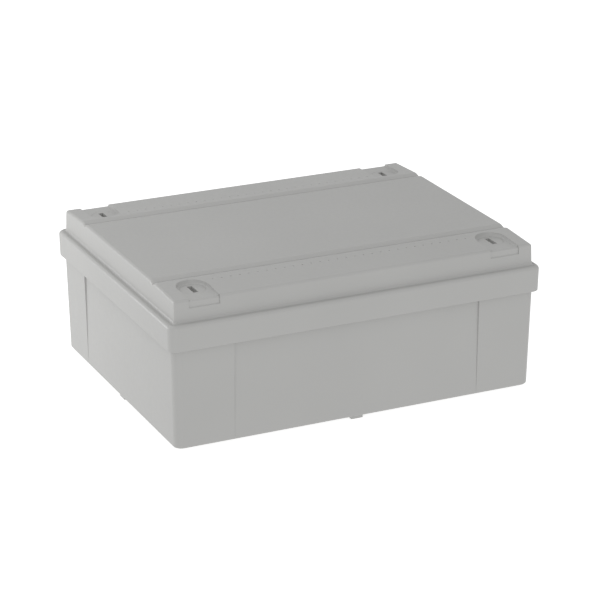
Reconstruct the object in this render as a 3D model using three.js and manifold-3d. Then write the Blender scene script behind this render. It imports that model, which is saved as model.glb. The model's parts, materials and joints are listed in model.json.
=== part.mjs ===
// Electrical junction box with a lift-off lid, quarter-turn lid screws and a rail of terminal blocks.
// Millimetres. X runs along the box, Y across it (front is -Y) and Z up from the underside of the feet.

import * as THREE from "three";
import { mergeVertices } from "three/addons/utils/BufferGeometryUtils.js";
import Module from "manifold-3d";

const wasm = await Module();
wasm.setup();

// ---------------------------------------------------------------- driving dimensions

// Every outline is a rounded rectangle set in from the band's, which is the largest.
const BOX = { length: 254, width: 197.6 };
const FOOT_HEIGHT = 2;
const GAP = 0.3; // between pieces that touch
const BEYOND = 300; // past every side of the box, for cutting tools
const HALF_ROUND = 1 - Math.SQRT1_2; // how far in a quarter round is at its middle, as a part of its radius

const WALL = { inset: 4.2, thickness: 2.6, floor: 3, radius: 5, edge: 1.4 };
const CORNER_ZONE = { x: 84, y: 57, draft: 1.15 }; // the proud zones start here and lean out by the draft
const BAND = { low: 67, high: 83.3, draft: 0.25, radius: 5, edge: 1.5 };
const CHANNEL = { inset: 3.4, low: 71.5, radius: 2 }; // between the band and the tongue
const TONGUE = { inset: 7.2, thickness: 2.2, low: 68.5, high: 88, radius: 1 };
const FOOT = { width: 8, length: 13 };

const LID = { inset: 4.2, draft: 0.7, low: 78.5, high: 99.5, radius: 1.2, edge: 1.9 };
const LID_LIP = { low: 82.8, high: 86.3, flare: 0.5 }; // the lid's sides flare out where they meet the band
const LID_SKIRT = { thickness: 2.4, radius: 1 };
const LID_TOP = { grooveY: 59.2, grooveHalf: 4.2, grooveDepth: 1.3, stripDrop: 1.4, plate: 2.9 };
const LID_RIB = { inset: 10, thickness: 2, low: 86, radius: 1 }; // inner side of the gasket's channel
const GASKET = { low: TONGUE.high + GAP, height: 3.4, inset: 6.9, width: 2.8, radius: 0.8 };

const SCREW = {
  x: 102.5, y: 75.6, headRadius: 7.9, headHeight: 4, shankRadius: 2.8,
  slotLength: 10.9, slotWidth: 3.1, slotDepth: 3.2,
  lugLength: 8.2, lugWidth: 2.8, lugHigh: 77.9, lugLow: 74.6, tip: 72.5,
};
const RECESS = { radius: 10.1, floor: 96.85, ledge: 92.4, ledgeRise: 0.6, setback: 0.8 };
const SEAL = { ringRadius: 6.45, sectionRadius: 0.65 };
const POST = { radius: 8.2, high: 81.5, cap: 3, boreRadius: 4.7, boreLow: 60, rib: 2, ribHigh: 66 };

const FIXING = { x: 84, y: 72, holeRadius: 2.75, bossRadius: 6, bossHeight: 5 };
const PLUG = { capRadius: 4.8, capHeight: 1.5, stemRadius: 2.4 };
const PLATE_BOSS = { x: 62, y: 62, radius: 4, height: 6, pilot: 1.5 };

const RAIL = { length: 180, width: 35, channel: 27, height: 7.5, gauge: 1, slotPitch: 25, slotWidth: 6.2,
  slotLength: 15 };
const RAIL_SCREW = {
  x: 75, bossRadius: 5, bossHeight: 6, shankRadius: 1.35, headRadius: 3.9, headHeight: 2.4,
  slotWidth: 1, slotDepth: 1,
};

const BODY = { thickness: 10, wall: 1.4 }; // one terminal block along the rail
const CAGE = { near: 10, far: 17, low: 2.3, high: 11, base: 1.7, wireLow: 4, wireHigh: 9.2, side: 1.2 };
const CAGE_X = (BODY.wall + BODY.thickness) / 2;
const CLAMP_SCREW = {
  y: 13.5, wellRadius: 3.2, headRadius: 2.8, headLow: 13.5, headHigh: 16.2, shankRadius: 1.5,
  slotWidth: 0.9, slotDepth: 1.2,
};
const END_PLATE = 1.8;
const END_STOP = 9;

const FLOOR = FOOT_HEIGHT + WALL.floor;
const RAIL_LOW = FLOOR + RAIL_SCREW.bossHeight;
const RAIL_TOP = RAIL_LOW + RAIL.height;
const CORNERS = [
  ["front_left", -1, -1],
  ["front_right", 1, -1],
  ["back_left", -1, 1],
  ["back_right", 1, 1],
];

// ---------------------------------------------------------------- finishes

const finish = (color, roughness, metalness = 0) => ({ color, roughness, metalness });
const SHELL_GREY = finish(0xbcbbb9, 0.55);
const SCREW_GREY = finish(0xb5b5b2, 0.5);
const RUBBER = finish(0x2b2c2e, 0.85);
const PLUG_GREY = finish(0xa9aaa8, 0.6);
const ZINC = finish(0xb9bcc0, 0.35, 1);
const BRASS = finish(0xc7a45a, 0.3, 1);
const TERMINAL_GREY = finish(0x9c9e9f, 0.5);
const NEUTRAL_BLUE = finish(0x2f6fb0, 0.5);
const EARTH_GREEN = finish(0x3f9a48, 0.5);
const STOP_GREY = finish(0x6f7274, 0.55);

// ---------------------------------------------------------------- geometry helpers

function solidOf(geometry) {
  const bare = geometry.clone();
  bare.deleteAttribute("normal");
  bare.deleteAttribute("uv");
  const merged = mergeVertices(bare, 1e-4);
  const vertProperties = new Float32Array(merged.attributes.position.array);
  const triVerts = new Uint32Array(merged.index.array);
  return new wasm.Manifold(new wasm.Mesh({ numProp: 3, vertProperties, triVerts }));
}

function geometryOf(solid) {
  const { vertProperties, triVerts } = solid.getMesh();
  const geometry = new THREE.BufferGeometry();
  geometry.setAttribute("position", new THREE.BufferAttribute(vertProperties, 3));
  geometry.setIndex(new THREE.BufferAttribute(triVerts, 1));
  const faceted = geometry.toNonIndexed();
  faceted.computeVertexNormals();
  return faceted;
}

const joined = (...solids) => solids.reduce((sum, solid) => sum.add(solid));
const cut = (solid, ...tools) => tools.reduce((rest, tool) => rest.subtract(tool), solid);
const span = (from, to) => [Math.min(from, to), Math.max(from, to)];

function roundedRect(length, width, radius) {
  const x = length / 2 - radius;
  const y = width / 2 - radius;
  const shape = new THREE.Shape();
  shape.absarc(x, -y, radius, -Math.PI / 2, 0);
  shape.absarc(x, y, radius, 0, Math.PI / 2);
  shape.absarc(-x, y, radius, Math.PI / 2, Math.PI);
  shape.absarc(-x, -y, radius, Math.PI, 1.5 * Math.PI);
  shape.closePath();
  return shape;
}

// The band's outline set in by a distance.
const outline = (inset, radius) => roundedRect(BOX.length - 2 * inset, BOX.width - 2 * inset, radius);

// An outline carried up through levels, each with its height and how far the outline grows there.
function lofted(shape, levels, curveSegments = 2) {
  const steps = levels.length - 1;
  const options = { depth: steps, steps, curveSegments, bevelEnabled: false };
  const geometry = new THREE.ExtrudeGeometry(shape, options);
  const position = geometry.attributes.position;
  for (let i = 0; i < position.count; i++) {
    const { z, grow = 0 } = levels[Math.round(position.getZ(i))];
    const x = position.getX(i);
    const y = position.getY(i);
    position.setXYZ(i, x + Math.sign(x) * grow, y + Math.sign(y) * grow, z);
  }
  return solidOf(geometry);
}

const slab = (shape, low, high, curveSegments) => lofted(shape, [{ z: low }, { z: high }], curveSegments);

// Levels that round off an edge over a quarter circle, towards a top (1) or a bottom (-1).
function roundedEdge(z, radius, grow, side, segments = 2) {
  const levels = [];
  for (let i = 0; i <= segments; i++) {
    const angle = ((i / segments) * Math.PI) / 2;
    levels.push({
      z: z - side * radius * (1 - Math.sin(angle)),
      grow: grow - radius * (1 - Math.cos(angle)),
    });
  }
  return side > 0 ? levels : levels.reverse();
}

function block([x0, x1], [y0, y1], [z0, z1]) {
  const geometry = new THREE.BoxGeometry(x1 - x0, y1 - y0, z1 - z0);
  return solidOf(geometry.translate((x0 + x1) / 2, (y0 + y1) / 2, (z0 + z1) / 2));
}

function rod(radius, low, high, x = 0, y = 0, sides = 24) {
  const geometry = new THREE.CylinderGeometry(radius, radius, high - low, sides).rotateX(Math.PI / 2);
  return solidOf(geometry.translate(x, y, (low + high) / 2));
}

// A section drawn in Y and Z, extruded along X from one place to another.
function alongX(points, from, to) {
  const shape = new THREE.Shape(points.map(([y, z]) => new THREE.Vector2(y, z)));
  const geometry = new THREE.ExtrudeGeometry(shape, { depth: to - from, bevelEnabled: false });
  const turn = new THREE.Matrix4().makeBasis(
    new THREE.Vector3(0, 1, 0),
    new THREE.Vector3(0, 0, 1),
    new THREE.Vector3(1, 0, 0),
  );
  return solidOf(geometry.applyMatrix4(turn).translate(from, 0, 0));
}

// A half section, given on its +Y side from top to bottom, with its mirror image.
const mirrored = (half) => [...half.map(([y, z]) => [-y, z]), ...half.slice().reverse()];

function part(group, name, solid, look, x = 0, y = 0, z = 0) {
  const mesh = new THREE.Mesh(geometryOf(solid), new THREE.MeshStandardMaterial(look));
  mesh.name = name;
  mesh.position.set(x, y, z);
  group.add(mesh);
}

// ---------------------------------------------------------------- base

// Flat wall panels, with the four corner zones standing proud of them towards the top.
function wallBody() {
  const shape = outline(WALL.inset, WALL.radius);
  const panels = lofted(shape, [...roundedEdge(FOOT_HEIGHT, WALL.edge, 0, -1), { z: BAND.low + 1 }]);
  const zones = cut(
    lofted(shape, [{ z: FOOT_HEIGHT + WALL.edge }, { z: BAND.low + 1, grow: CORNER_ZONE.draft }]),
    block([-CORNER_ZONE.x, CORNER_ZONE.x], [-BEYOND, BEYOND], [0, BAND.high]),
    block([-BEYOND, BEYOND], [-CORNER_ZONE.y, CORNER_ZONE.y], [0, BAND.high]),
  );
  return panels.add(zones);
}

function bandAndTongue() {
  const rim = lofted(outline(BAND.draft, BAND.radius), [
    { z: BAND.low },
    ...roundedEdge(BAND.high, BAND.edge, BAND.draft, 1),
  ]);
  const channel = slab(outline(CHANNEL.inset, CHANNEL.radius), CHANNEL.low, BAND.high + 1);
  const tongue = slab(outline(TONGUE.inset, TONGUE.radius), TONGUE.low, TONGUE.high);
  return cut(rim, channel).add(tongue);
}

function cavity() {
  const inset = WALL.inset + WALL.thickness;
  const mouthInset = TONGUE.inset + TONGUE.thickness;
  return joined(
    lofted(outline(inset, WALL.radius - 1), [{ z: FLOOR }, { z: TONGUE.low, grow: 1 }]),
    slab(outline(mouthInset, TONGUE.radius), TONGUE.low - 1, TONGUE.high + 1),
  );
}

// A post for one lid screw, tied to both walls. Its cap has a keyhole that the screw's lugs pass.
function post(sx, sy) {
  const x = sx * SCREW.x;
  const y = sy * SCREW.y;
  const reachX = BOX.length / 2 - WALL.inset - 1;
  const reachY = BOX.width / 2 - WALL.inset - 1;
  const low = FLOOR - 1;
  return joined(
    rod(POST.radius, low, POST.high, x, y),
    block(span(x, sx * reachX), [y - POST.rib / 2, y + POST.rib / 2], [low, POST.ribHigh]),
    block([x - POST.rib / 2, x + POST.rib / 2], span(y, sy * reachY), [low, POST.ribHigh]),
  );
}

function postBore(sx, sy) {
  const x = sx * SCREW.x;
  const y = sy * SCREW.y;
  const halfWidth = SCREW.lugWidth / 2 + GAP;
  const halfLength = SCREW.lugLength / 2 + GAP;
  const capLow = POST.high - POST.cap;
  return joined(
    rod(POST.boreRadius, POST.boreLow, capLow, x, y, 16),
    rod(SCREW.shankRadius + GAP, capLow - 1, POST.high + 1, x, y, 16),
    block([x - halfWidth, x + halfWidth], [y - halfLength, y + halfLength], [capLow, POST.high + 1]),
  );
}

function foot(alongFront, side) {
  const reach = (alongFront ? BOX.width : BOX.length) / 2 - WALL.inset - WALL.edge;
  const across = [-FOOT.width / 2, FOOT.width / 2];
  const inward = side > 0 ? [reach - FOOT.length, reach] : [-reach, FOOT.length - reach];
  const height = [0, FOOT_HEIGHT + 1];
  return alongFront ? block(across, inward, height) : block(inward, across, height);
}

function makeBase() {
  const bossTop = FLOOR + FIXING.bossHeight;
  const plateTop = FLOOR + PLATE_BOSS.height;
  const low = FLOOR - 1;
  const shell = cut(joined(wallBody(), bandAndTongue()), cavity());
  const pieces = [];
  const holes = [];
  for (const [, sx, sy] of CORNERS) {
    const [fx, fy] = [sx * FIXING.x, sy * FIXING.y];
    const [px, py] = [sx * PLATE_BOSS.x, sy * PLATE_BOSS.y];
    pieces.push(
      post(sx, sy),
      rod(FIXING.bossRadius, low, bossTop, fx, fy, 16),
      rod(PLATE_BOSS.radius, low, plateTop, px, py, 12),
    );
    holes.push(
      postBore(sx, sy),
      rod(FIXING.holeRadius, 0, bossTop + 1, fx, fy, 12),
      rod(PLATE_BOSS.pilot, FLOOR, plateTop + 1, px, py, 8),
    );
  }
  for (const side of [-1, 1]) {
    const x = side * RAIL_SCREW.x;
    pieces.push(foot(true, side), foot(false, side));
    pieces.push(rod(RAIL_SCREW.bossRadius, low, RAIL_LOW - GAP, x, 0, 12));
    holes.push(rod(RAIL_SCREW.shankRadius + GAP, FLOOR, RAIL_LOW, x, 0, 12));
  }
  return cut(joined(shell, ...pieces), ...holes);
}

// ---------------------------------------------------------------- lid

// The lid's outer form: a drafted outline under a top that falls away over the two outer strips.
function lidForm() {
  const { grooveY, grooveHalf, grooveDepth, stripDrop } = LID_TOP;
  const halfWidth = BOX.width / 2 - LID.inset;
  const body = lofted(outline(LID.inset, LID.radius), [
    { z: LID.low },
    { z: LID_LIP.low },
    { z: LID_LIP.low, grow: LID_LIP.flare },
    { z: LID_LIP.high - LID_LIP.flare, grow: LID_LIP.flare * HALF_ROUND },
    { z: LID_LIP.high },
    { z: LID.high - stripDrop - LID.edge, grow: -LID.draft },
    { z: LID.high + 1, grow: -LID.draft },
  ]);
  const strip = LID.high - stripDrop;
  const edgeY = halfWidth - LID.draft;
  const top = mirrored([
    [grooveY - grooveHalf, LID.high],
    [grooveY, LID.high - grooveDepth],
    [grooveY + grooveHalf, LID.high],
    [edgeY - LID.edge, strip],
    [edgeY - LID.edge * HALF_ROUND, strip - LID.edge * HALF_ROUND],
    [edgeY, strip - LID.edge],
    [BEYOND, strip - LID.edge],
    [BEYOND, LID.low - 1],
  ]);
  const edgeX = BOX.length / 2 - LID.inset - LID.draft;
  const ends = mirrored([
    [edgeX - LID.edge, LID.high + 1],
    [edgeX - LID.edge, LID.high],
    [edgeX - LID.edge * HALF_ROUND, LID.high - LID.edge * HALF_ROUND],
    [edgeX, LID.high - LID.edge],
    [BEYOND, LID.high - LID.edge],
    [BEYOND, LID.low - 1],
  ]);
  const endForm = alongX(ends, -BEYOND, BEYOND).rotate([0, 0, 90]);
  return body.intersect(alongX(top, -BEYOND, BEYOND)).intersect(endForm);
}

// Half-round towards the lid's middle and open at its long side.
function recessShape(margin) {
  const radius = RECESS.radius + margin;
  const shape = new THREE.Shape();
  shape.moveTo(-radius, 0);
  shape.lineTo(-radius, -BOX.width / 2);
  shape.lineTo(radius, -BOX.width / 2);
  shape.absarc(0, 0, radius, 0, Math.PI);
  return shape;
}

const atCorner = (solid, sx, sy) =>
  solid.rotate([0, 0, sy < 0 ? 0 : 180]).translate([sx * SCREW.x, sy * SCREW.y, 0]);

function screwRecess(sx, sy) {
  const lidSide = BOX.width / 2 - LID.inset - LID.draft - SCREW.y;
  const faceY = lidSide - RECESS.setback;
  const dish = slab(recessShape(0), RECESS.floor, LID.high + 1, 6);
  const section = [
    [-BEYOND, RECESS.ledge],
    [-lidSide, RECESS.ledge],
    [-faceY, RECESS.ledge + RECESS.ledgeRise],
    [-faceY, LID.high + 1],
    [-BEYOND, LID.high + 1],
  ];
  return atCorner(dish.add(alongX(section, -RECESS.radius, RECESS.radius)), sx, sy);
}

function screwBoss(sx, sy) {
  const outer = BOX.width / 2 - LID.inset - LID_SKIRT.thickness - SCREW.y;
  const pad = slab(recessShape(2), RECESS.floor - LID_TOP.plate, RECESS.floor + 0.5, 6);
  const trimmed = pad.intersect(block([-BEYOND, BEYOND], [-outer, BEYOND], [0, LID.high]));
  return atCorner(trimmed.add(rod(POST.radius + 2.4, POST.high + 2 * GAP, RECESS.floor + 0.5)), sx, sy);
}

function screwHole(sx, sy) {
  const seat = RECESS.floor - SCREW.headHeight - 2 * (SEAL.sectionRadius + GAP);
  return joined(
    rod(SCREW.headRadius + GAP, seat, LID.high, sx * SCREW.x, sy * SCREW.y, 32),
    rod(POST.boreRadius, POST.high, seat + 1, sx * SCREW.x, sy * SCREW.y, 16),
  );
}

function makeLid() {
  const skirtInset = LID.inset + LID_SKIRT.thickness;
  const ceiling = LID.high - LID_TOP.stripDrop - LID_TOP.plate;
  const ribInner = LID_RIB.inset + LID_RIB.thickness;
  const channelTop = GASKET.low + GASKET.height + GAP;
  const inside = outline(skirtInset, LID_SKIRT.radius);
  const channel = cut(
    slab(inside, LID_RIB.low - 1, channelTop),
    slab(outline(LID_RIB.inset, LID_RIB.radius), 0, LID.high),
  );
  const centreHalf = LID_TOP.grooveY - LID_TOP.grooveHalf;
  const lengthHalf = BOX.length / 2 - ribInner;
  const plain = cut(
    lidForm(),
    slab(inside, LID.low - 1, LID_RIB.low),
    slab(outline(ribInner, LID_RIB.radius), LID.low, ceiling),
    block([-lengthHalf, lengthHalf], [-centreHalf, centreHalf], [LID.low, LID.high - LID_TOP.plate]),
  );
  const bosses = CORNERS.map(([, sx, sy]) => screwBoss(sx, sy));
  const holes = CORNERS.flatMap(([, sx, sy]) => [screwRecess(sx, sy), screwHole(sx, sy)]);
  return cut(joined(plain, ...bosses), channel, ...holes);
}

function makeGasket() {
  return cut(
    slab(outline(GASKET.inset, GASKET.radius), GASKET.low, GASKET.low + GASKET.height),
    slab(outline(GASKET.inset + GASKET.width, GASKET.radius), 0, LID.high),
  );
}

// ---------------------------------------------------------------- lid screws

// Heights are measured from the recess floor, which the head is flush with.
function makeLidScrew() {
  const down = (z) => z - RECESS.floor;
  const lug = { length: SCREW.lugLength / 2, width: SCREW.lugWidth / 2 };
  const slot = { length: SCREW.slotLength / 2, width: SCREW.slotWidth / 2 };
  return cut(
    joined(
      rod(SCREW.headRadius, -SCREW.headHeight, 0, 0, 0, 32),
      rod(SCREW.shankRadius, down(SCREW.tip), -SCREW.headHeight + 1, 0, 0, 16),
      block([-lug.width, lug.width], [-lug.length, lug.length], [down(SCREW.lugLow), down(SCREW.lugHigh)]),
    ),
    block([-slot.width, slot.width], [-slot.length, slot.length], [-SCREW.slotDepth, 1]),
  );
}

function makeScrewSeal() {
  const profile = [];
  const sides = 6;
  for (let i = 0; i <= sides; i++) {
    const angle = (i / sides) * 2 * Math.PI;
    profile.push(
      new THREE.Vector2(
        SEAL.ringRadius + SEAL.sectionRadius * Math.cos(angle),
        SEAL.sectionRadius * Math.sin(angle),
      ),
    );
  }
  return solidOf(new THREE.LatheGeometry(profile, 20).rotateX(Math.PI / 2));
}

function makeFixingPlug() {
  const stem = rod(PLUG.stemRadius, -FIXING.bossHeight - GAP, PLUG.capHeight / 2, 0, 0, 16);
  return stem.add(rod(PLUG.capRadius, 0, PLUG.capHeight));
}

// ---------------------------------------------------------------- rail and terminal blocks

function makeRail() {
  const flange = RAIL.width / 2;
  const outer = RAIL.channel / 2;
  const inner = outer - RAIL.gauge;
  const section = mirrored([
    [inner, RAIL.gauge],
    [inner, RAIL.height],
    [flange, RAIL.height],
    [flange, RAIL.height - RAIL.gauge],
    [outer, RAIL.height - RAIL.gauge],
    [outer, 0],
  ]);
  let rail = alongX(section, -RAIL.length / 2, RAIL.length / 2);
  const straight = (RAIL.slotLength - RAIL.slotWidth) / 2;
  const slot = new THREE.Shape();
  slot.absarc(straight, 0, RAIL.slotWidth / 2, -Math.PI / 2, Math.PI / 2);
  slot.absarc(-straight, 0, RAIL.slotWidth / 2, Math.PI / 2, 1.5 * Math.PI);
  for (let i = -3; i <= 3; i++) {
    rail = rail.subtract(slab(slot, -1, RAIL.gauge + 1).translate([i * RAIL.slotPitch, 0, 0]));
  }
  return rail;
}

function makeRailScrew() {
  const { headRadius, headHeight, shankRadius, bossHeight, slotWidth, slotDepth } = RAIL_SCREW;
  const seat = RAIL.gauge + GAP;
  const top = seat + headHeight;
  return cut(
    rod(headRadius, seat, top).add(rod(shankRadius, 2 - bossHeight, seat + headHeight / 2, 0, 0, 12)),
    block([-BEYOND, BEYOND], [-slotWidth / 2, slotWidth / 2], [top - slotDepth, BEYOND]),
  );
}

// Heights are measured from the rail's flange. The feet at the bottom hook under its two edges.
const HOOK = [
  [22, -2],
  [20.5, -3.6],
  [15.9, -3.6],
  [15.9, -RAIL.gauge - 2 * GAP],
  [17.8, -RAIL.gauge - 2 * GAP],
  [17.8, 0],
];
const hookedSection = (upper) => mirrored([...upper, ...HOOK]);
const TERMINAL_SECTION = hookedSection([
  [7, 25],
  [9, 20.5],
  [19.5, 20.5],
  [23, 17],
  [23, 1],
]);
const END_STOP_SECTION = hookedSection([
  [8, 20],
  [10, 14],
  [19, 14],
  [22, 11],
  [22, 0.5],
]);

// Moulded body, open on its +X side, with a chamber for each cage and a well over each clamp screw.
function makeTerminalBody() {
  const { near, far, low, high, wireLow, wireHigh } = CAGE;
  const open = [BODY.wall, BODY.thickness + 1];
  let body = cut(
    alongX(TERMINAL_SECTION, 0, BODY.thickness),
    block(open, [-near, near], [low - GAP, low + CAGE.base + GAP]),
  );
  for (const side of [-1, 1]) {
    body = cut(
      body,
      block(open, span(side * (near - 1), side * (far + GAP)), [low - GAP, high + GAP]),
      block(open, span(side * far, side * BEYOND), [wireLow - GAP, wireHigh + GAP]),
      rod(CLAMP_SCREW.wellRadius, high, BEYOND, CAGE_X, side * CLAMP_SCREW.y, 16),
    );
  }
  return body;
}

// Brass bar with a square cage at each end, through which the wire passes under the clamp screw.
function makeClampBar() {
  const { near, far, low, high, base, wireLow, wireHigh, side } = CAGE;
  const half = (BODY.thickness - BODY.wall) / 2 - GAP;
  const wire = half - side;
  let bar = block([-half, half], [-near - 1, near + 1], [low, low + base]);
  for (const end of [-1, 1]) {
    bar = bar.add(block([-half, half], span(end * near, end * far), [low, high]));
    bar = cut(
      bar,
      block([-wire, wire], span(end * (near - 1), end * (far + 1)), [wireLow, wireHigh]),
      rod(CLAMP_SCREW.shankRadius + GAP, wireLow + 1, high + 1, 0, end * CLAMP_SCREW.y, 8),
    );
  }
  return bar;
}

function makeClampScrew() {
  const { headRadius, headLow, headHigh, shankRadius, slotWidth, slotDepth } = CLAMP_SCREW;
  const shank = rod(shankRadius, CAGE.wireHigh + 0.1, headLow + 1, 0, 0, 8);
  return cut(
    rod(headRadius, headLow, headHigh, 0, 0, 16).add(shank),
    block([-BEYOND, BEYOND], [-slotWidth / 2, slotWidth / 2], [headHigh - slotDepth, BEYOND]),
  );
}

// ---------------------------------------------------------------- assembly

const junctionBox = new THREE.Group();

part(junctionBox, "base_shell", makeBase(), SHELL_GREY);
for (const [corner, sx, sy] of CORNERS) {
  const top = FLOOR + FIXING.bossHeight + GAP;
  part(junctionBox, `fixing_plug_${corner}`, makeFixingPlug(), PLUG_GREY, sx * FIXING.x, sy * FIXING.y, top);
}

const cover = new THREE.Group();
junctionBox.add(cover);
part(cover, "lid", makeLid(), SHELL_GREY);
part(cover, "lid_gasket", makeGasket(), RUBBER);
for (const [corner, sx, sy] of CORNERS) {
  const screw = new THREE.Group();
  screw.position.set(sx * SCREW.x, sy * SCREW.y, RECESS.floor);
  cover.add(screw);
  part(screw, `lid_screw_${corner}`, makeLidScrew(), SCREW_GREY);
  const ringZ = -SCREW.headHeight - SEAL.sectionRadius - GAP;
  part(screw, `screw_seal_${corner}`, makeScrewSeal(), RUBBER, 0, 0, ringZ);
}

const railGroup = new THREE.Group();
railGroup.position.z = RAIL_LOW;
junctionBox.add(railGroup);
part(railGroup, "din_rail", makeRail(), ZINC);
part(railGroup, "rail_screw_left", makeRailScrew(), ZINC, -RAIL_SCREW.x);
part(railGroup, "rail_screw_right", makeRailScrew(), ZINC, RAIL_SCREW.x);

const POLES = [
  ["phase_1", TERMINAL_GREY],
  ["phase_2", TERMINAL_GREY],
  ["phase_3", TERMINAL_GREY],
  ["neutral", NEUTRAL_BLUE],
  ["earth", EARTH_GREEN],
];
const polePitch = BODY.thickness + GAP;
const rowLength = POLES.length * polePitch + END_PLATE;
const terminalRow = new THREE.Group();
terminalRow.position.set(-rowLength / 2, 0, RAIL_TOP + GAP);
junctionBox.add(terminalRow);
POLES.forEach(([pole, look], i) => {
  const terminal = new THREE.Group();
  terminal.position.x = i * polePitch;
  terminalRow.add(terminal);
  part(terminal, `terminal_${pole}_body`, makeTerminalBody(), look);
  part(terminal, `terminal_${pole}_clamp_bar`, makeClampBar(), BRASS, CAGE_X);
  part(terminal, `terminal_${pole}_screw_front`, makeClampScrew(), ZINC, CAGE_X, -CLAMP_SCREW.y);
  part(terminal, `terminal_${pole}_screw_back`, makeClampScrew(), ZINC, CAGE_X, CLAMP_SCREW.y);
});
const plateX = POLES.length * polePitch;
part(terminalRow, "terminal_end_plate", alongX(TERMINAL_SECTION, 0, END_PLATE), TERMINAL_GREY, plateX);
const endStop = alongX(END_STOP_SECTION, 0, END_STOP);
part(terminalRow, "end_stop_left", endStop, STOP_GREY, -END_STOP - GAP);
part(terminalRow, "end_stop_right", endStop, STOP_GREY, rowLength + GAP);

export default junctionBox;
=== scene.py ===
import json
import math

import bmesh
import bpy
from mathutils import Euler, Matrix, Vector


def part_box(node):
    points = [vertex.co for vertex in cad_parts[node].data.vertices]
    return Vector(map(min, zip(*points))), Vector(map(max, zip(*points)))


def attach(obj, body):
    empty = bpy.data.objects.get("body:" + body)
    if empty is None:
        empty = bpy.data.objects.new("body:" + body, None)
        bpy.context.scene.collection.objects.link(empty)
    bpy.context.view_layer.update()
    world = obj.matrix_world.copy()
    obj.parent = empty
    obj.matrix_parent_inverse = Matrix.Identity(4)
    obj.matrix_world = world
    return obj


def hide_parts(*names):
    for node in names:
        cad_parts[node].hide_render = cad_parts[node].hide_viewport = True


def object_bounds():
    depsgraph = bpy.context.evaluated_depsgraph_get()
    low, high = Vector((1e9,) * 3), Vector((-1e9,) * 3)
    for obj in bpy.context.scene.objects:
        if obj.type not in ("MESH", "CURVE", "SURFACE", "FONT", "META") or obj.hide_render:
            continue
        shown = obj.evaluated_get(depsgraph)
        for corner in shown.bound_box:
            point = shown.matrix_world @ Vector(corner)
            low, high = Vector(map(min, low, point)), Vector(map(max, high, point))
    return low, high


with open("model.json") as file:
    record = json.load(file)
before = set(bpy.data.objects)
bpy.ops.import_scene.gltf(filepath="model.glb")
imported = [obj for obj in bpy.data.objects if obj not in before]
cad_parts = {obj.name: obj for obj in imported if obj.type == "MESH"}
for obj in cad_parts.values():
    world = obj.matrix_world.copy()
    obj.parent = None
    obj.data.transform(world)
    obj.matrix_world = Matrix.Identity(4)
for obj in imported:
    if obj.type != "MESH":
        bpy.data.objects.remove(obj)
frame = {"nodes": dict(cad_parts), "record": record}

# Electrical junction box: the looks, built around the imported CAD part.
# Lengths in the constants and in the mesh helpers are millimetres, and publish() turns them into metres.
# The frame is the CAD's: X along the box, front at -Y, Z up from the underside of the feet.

MM = 0.001
CAD_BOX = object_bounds()


# ---------------------------------------------------------------- sizes from the frame

def box_mm(node):
    low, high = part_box(node)
    return low / MM, high / MM


HALF_X = CAD_BOX[1].x / MM  # of the band's outline, which every other outline is set in from
HALF_Y = CAD_BOX[1].y / MM
TOP = CAD_BOX[1].z / MM

CORNERS = (("front_left", -1, -1), ("front_right", 1, -1), ("back_left", -1, 1), ("back_right", 1, 1))

SCREW_LOW, SCREW_HIGH = box_mm("lid_screw_back_right")
SCREW_X = (SCREW_LOW.x + SCREW_HIGH.x) / 2
SCREW_Y = (SCREW_LOW.y + SCREW_HIGH.y) / 2
SCREW_TIP = SCREW_LOW.z
RECESS_FLOOR = SCREW_HIGH.z  # the screw's head is flush with it
HEAD_RADIUS = (SCREW_HIGH.x - SCREW_LOW.x) / 2

PLUG_LOW, PLUG_HIGH = box_mm("fixing_plug_back_right")
FIXING_X = (PLUG_LOW.x + PLUG_HIGH.x) / 2
FIXING_Y = (PLUG_LOW.y + PLUG_HIGH.y) / 2

# ---------------------------------------------------------------- driving dimensions

# An INSET is how far an outline lies inside the band's. A LOW, a HIGH and a LEDGE are heights.
# An EDGE is the size of a rounded or cut edge. A RADIUS is a round thing's, or an outline's corners'.

OVERLAP = 1.0  # how far joined solids run into each other, and cutting tools past a face
FAR = 40.0  # how far outwards the tools that cut a recess reach
ABOVE = TOP + 3  # where the tools that cut a recess end

FOOT_HEIGHT, FOOT_WIDTH, FOOT_LENGTH = 2.0, 8.0, 13.0
FLOOR = 5.0  # inside
WALL_INSET, WALL_RADIUS, WALL_EDGE = 4.2, 5.0, 1.4
ZONE_X, ZONE_Y, ZONE_PROUD = 84.0, 57.0, 1.15  # corner zones stand proud of the flat wall panels
ZONE_START, ZONE_START_SHARE = 0.5, 0.02  # above the wall's rounded foot, and how proud they are there
STEP_GROOVE = 0.1  # depth of the line at the foot of the step on the long walls
STEP_SECTION = (  # place along the wall from the zone's start, share of the groove, share of the step
    (-0.3, 0.0, 0.0),
    (-0.22, 1.0, 0.0),
    (-0.05, 1.0, 0.0),
    (0.0, 0.0, 0.8),
    (0.06, 0.0, 0.95),
    (0.2, 0.0, 1.0),
)
BAND_LOW, BAND_HIGH, BAND_DRAFT = 67.0, 84.0, 0.25
BAND_NECK = 0.5  # rounding where the wall meets the band, and of the band's outer lower edge
BAND_ROUND_IN, BAND_ROUND_DOWN = 2.2, 2.6  # rounding of the band's outer upper edge
BAND_EDGE = 0.06  # of its inner upper edge
CHANNEL_INSET, CHANNEL_LOW, CHANNEL_RADIUS = 3.1, 71.5, 1.2  # the lid's skirt stands in the channel
TONGUE_INSET, TONGUE_THICK, TONGUE_LOW, TONGUE_HIGH = 7.2, 2.2, 68.5, 88.0
TONGUE_RADIUS, TONGUE_INNER_RADIUS, TONGUE_EDGE = 1.5, 1.2, 0.7
CAVITY_INSET, CAVITY_DRAFT, CAVITY_RADIUS, CAVITY_EDGE = 6.8, 1.0, 4.0, 2.0

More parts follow.
